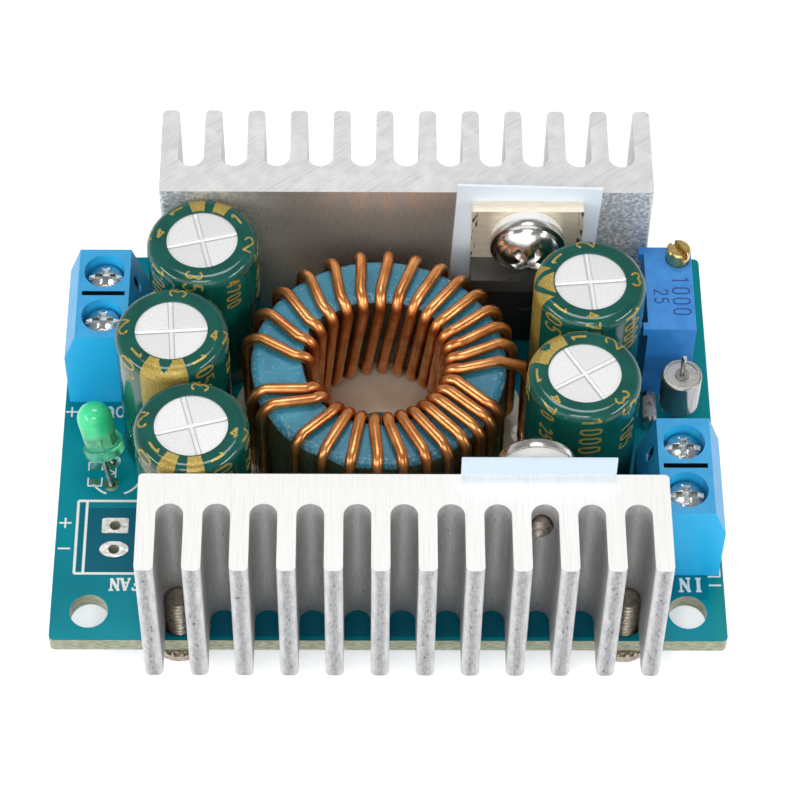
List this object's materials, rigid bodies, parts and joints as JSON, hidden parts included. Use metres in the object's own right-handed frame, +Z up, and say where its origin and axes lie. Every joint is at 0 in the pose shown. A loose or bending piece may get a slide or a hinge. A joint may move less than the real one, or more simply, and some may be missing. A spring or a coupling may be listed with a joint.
{
  "type": "boost converter module",
  "caption": "Boost converter board with ring-core coil, green capacitors, screw terminals and trimmer between two finned aluminium heatsinks.",
  "frame": {"origin": "middle of the four corner holes, on the underside of the board", "axes": "+X along the board to the terminal block beside the trimmer, +Y to the heatsink that the trimmer and the other terminal block stand against, +Z up out of the component side"},
  "size_m": [0.06, 0.0504, 0.0231],
  "materials": {
    "solder_mask": "semi-gloss solder mask over glass laminate",
    "aluminium": "extruded and sawn, bare",
    "steel": "dull plated steel",
    "nickel": "bright nickel plate",
    "silicone_sheet": "matte soft sheet",
    "white_plastic": "moulded",
    "black_plastic": "moulded epoxy",
    "tinned_metal": "tinned",
    "core_paint": "painted iron powder",
    "enamelled_copper": "clear enamel over copper",
    "black_rubber": "matte",
    "sleeve_plastic": "glossy shrink sleeve",
    "terminal_plastic": "moulded nylon",
    "trimmer_plastic": "moulded",
    "brass": "turned",
    "lamp_lens": "clear tinted epoxy",
    "seal_glass": "clear"
  },
  "bodies": {
    "module": {"circuit_board": "solder_mask", "front_heatsink": "aluminium", "rear_heatsink": "aluminium", "heatsink_screws": "steel", "heatsink_washers": "steel", "front_insulator": "silicone_sheet", "rear_insulator": "silicone_sheet", "insulating_bushes": "white_plastic", "device_screws": "nickel", "front_device_body": "black_plastic", "front_device_frame": "tinned_metal", "rear_device_body": "black_plastic", "rear_device_frame": "tinned_metal", "coil_core": "core_paint", "coil_winding": "enamelled_copper", "capacitor_bungs": "black_rubber", "capacitor_leads": "tinned_metal", "left_terminal_housing": "terminal_plastic", "right_terminal_housing": "terminal_plastic", "terminal_contacts": "tinned_metal", "trimmer_housing": "trimmer_plastic", "trimmer_pins": "tinned_metal", "lamp_lens": "lamp_lens", "lamp_leads": "tinned_metal", "standing_can": "steel", "standing_can_seal": "seal_glass", "standing_can_leads": "tinned_metal", "glass_diode": "seal_glass", "glass_diode_caps": "tinned_metal", "controller_chip": "black_plastic", "controller_legs": "tinned_metal", "chip_bodies": "black_plastic", "chip_ends": "tinned_metal", "solder_joints": "tinned_metal", "capacitor_1_can": "aluminium", "capacitor_1_sleeve": "sleeve_plastic", "capacitor_2_can": "aluminium", "capacitor_2_sleeve": "sleeve_plastic", "capacitor_3_can": "aluminium", "capacitor_3_sleeve": "sleeve_plastic", "capacitor_4_can": "aluminium", "capacitor_4_sleeve": "sleeve_plastic", "capacitor_5_can": "aluminium", "capacitor_5_sleeve": "sleeve_plastic"},
    "left_front_clamp": {"left_front_clamp": "tinned_metal"},
    "left_front_screw": {"left_front_screw": "nickel"},
    "left_rear_clamp": {"left_rear_clamp": "tinned_metal"},
    "left_rear_screw": {"left_rear_screw": "nickel"},
    "right_front_clamp": {"right_front_clamp": "tinned_metal"},
    "right_front_screw": {"right_front_screw": "nickel"},
    "right_rear_clamp": {"right_rear_clamp": "tinned_metal"},
    "right_rear_screw": {"right_rear_screw": "nickel"},
    "trimmer_screw": {"trimmer_screw": "brass"}
  },
  "joints": [
    {"name": "trimmer_turn", "type": "hinge", "parent": "module", "child": "trimmer_screw", "pos_m": [0.0267, 0.01368, 0.01163], "axis": [0, 0, 1], "continuous": true},
    {"name": "left_front_turn", "type": "hinge", "parent": "module", "child": "left_front_screw", "pos_m": [-0.0261, 0.00688, 0.0109], "axis": [0, 0, -1], "range_deg": [0, 1224]},
    {"name": "left_front_rise", "type": "slide", "parent": "module", "child": "left_front_clamp", "axis": [0, 0, 1], "range_m": [0, 0.0017]},
    {"name": "left_rear_turn", "type": "hinge", "parent": "module", "child": "left_rear_screw", "pos_m": [-0.0261, 0.01196, 0.0109], "axis": [0, 0, -1], "range_deg": [0, 1224]},
    {"name": "left_rear_rise", "type": "slide", "parent": "module", "child": "left_rear_clamp", "axis": [0, 0, 1], "range_m": [0, 0.0017]},
    {"name": "right_front_turn", "type": "hinge", "parent": "module", "child": "right_front_screw", "pos_m": [0.0261, -0.01206, 0.0109], "axis": [0, 0, -1], "range_deg": [0, 1224]},
    {"name": "right_front_rise", "type": "slide", "parent": "module", "child": "right_front_clamp", "axis": [0, 0, 1], "range_m": [0, 0.0017]},
    {"name": "right_rear_turn", "type": "hinge", "parent": "module", "child": "right_rear_screw", "pos_m": [0.0261, -0.00698, 0.0109], "axis": [0, 0, -1], "range_deg": [0, 1224]},
    {"name": "right_rear_rise", "type": "slide", "parent": "module", "child": "right_rear_clamp", "axis": [0, 0, 1], "range_m": [0, 0.0017]}
  ],
  "couplings": [
    {"joint": "left_front_turn", "follows": "left_front_rise", "rad_per_m": 12566},
    {"joint": "left_rear_turn", "follows": "left_rear_rise", "rad_per_m": 12566},
    {"joint": "right_front_turn", "follows": "right_front_rise", "rad_per_m": 12566},
    {"joint": "right_rear_turn", "follows": "right_rear_rise", "rad_per_m": 12566}
  ]
}
